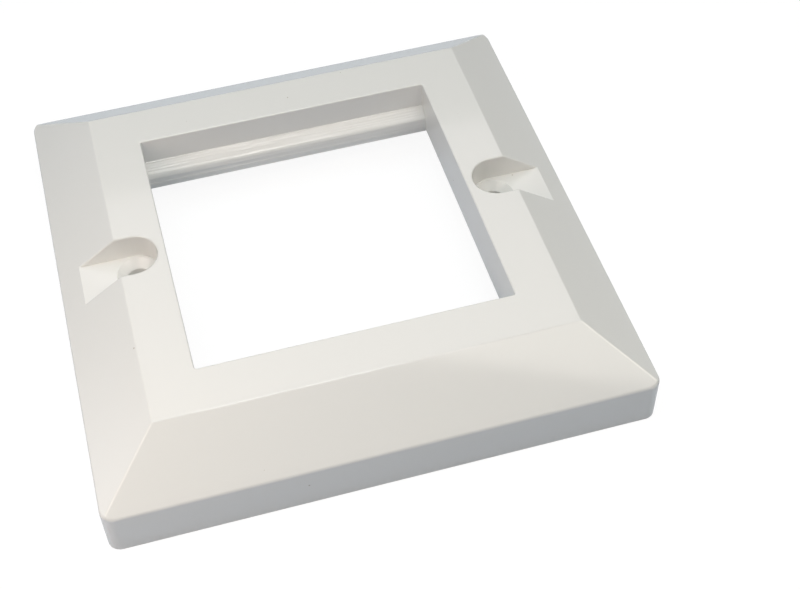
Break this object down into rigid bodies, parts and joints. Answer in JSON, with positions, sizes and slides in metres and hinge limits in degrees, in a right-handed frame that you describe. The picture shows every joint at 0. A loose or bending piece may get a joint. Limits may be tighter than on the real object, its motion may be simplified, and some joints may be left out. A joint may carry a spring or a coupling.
{
  "type": "two-port faceplate",
  "caption": "Square bevelled wall faceplate with an open window for snap-in outlet modules and recessed fixing screw holes at each side.",
  "frame": {"origin": "centre of the plane of the back edge, where the plate meets the wall", "axes": "+Z out of the wall through the face, +X along the line of the two fixing screws, +Y across it, towards one of the two ledge walls"},
  "size_m": [0.086, 0.086, 0.0153],
  "materials": {
    "white_moulding": "glossy white moulded plastic, slightly warm"
  },
  "bodies": {
    "root": {"faceplate": "white_moulding"}
  },
  "joints": []
}
